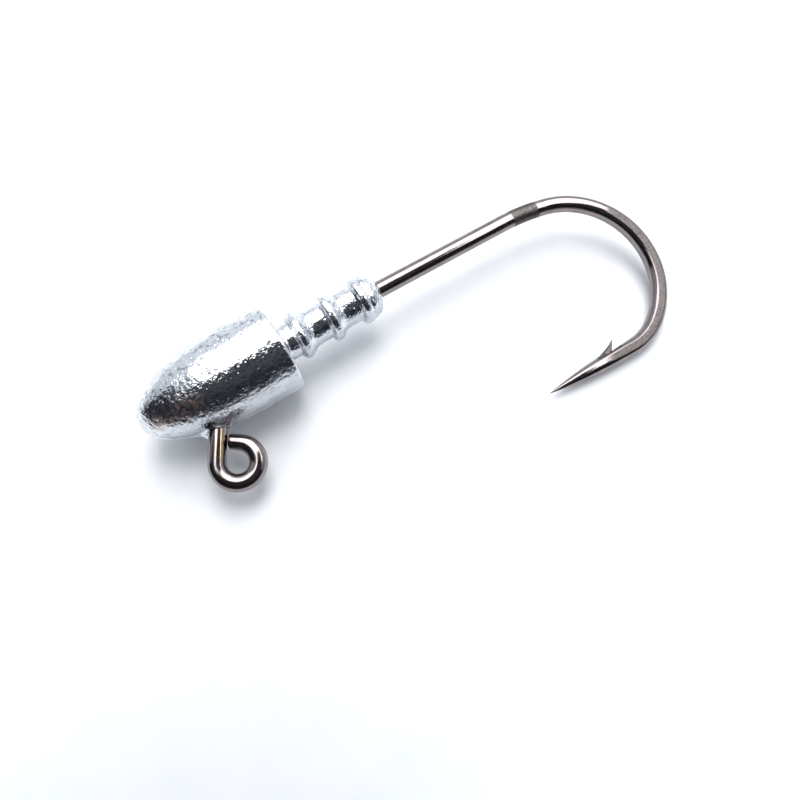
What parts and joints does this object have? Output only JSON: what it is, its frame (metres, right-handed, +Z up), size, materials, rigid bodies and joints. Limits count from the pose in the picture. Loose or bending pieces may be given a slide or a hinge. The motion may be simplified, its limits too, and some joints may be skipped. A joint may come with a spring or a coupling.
{
  "type": "jig head",
  "caption": "Fishing jig head: bullet-shaped bare lead weight with a ribbed bait collar, cast round a barbed steel hook whose eye leg leaves the head at 60 degrees.",
  "frame": {"origin": "middle of the footprint, on the table that the jig lies on", "axes": "+X along the casting's axis from the nose to the hook's bend, +Y towards the side away from the eye and the point, +Z up from the table. The hook's plane is rolled 11.6 degrees about X, with the point down on the table"},
  "size_m": [0.0536, 0.0234, 0.009],
  "materials": {
    "black_nickel": "polished",
    "bare_lead": "satin"
  },
  "bodies": {
    "root": {"jig_hook": "black_nickel", "lead_casting": "bare_lead"}
  },
  "joints": []
}
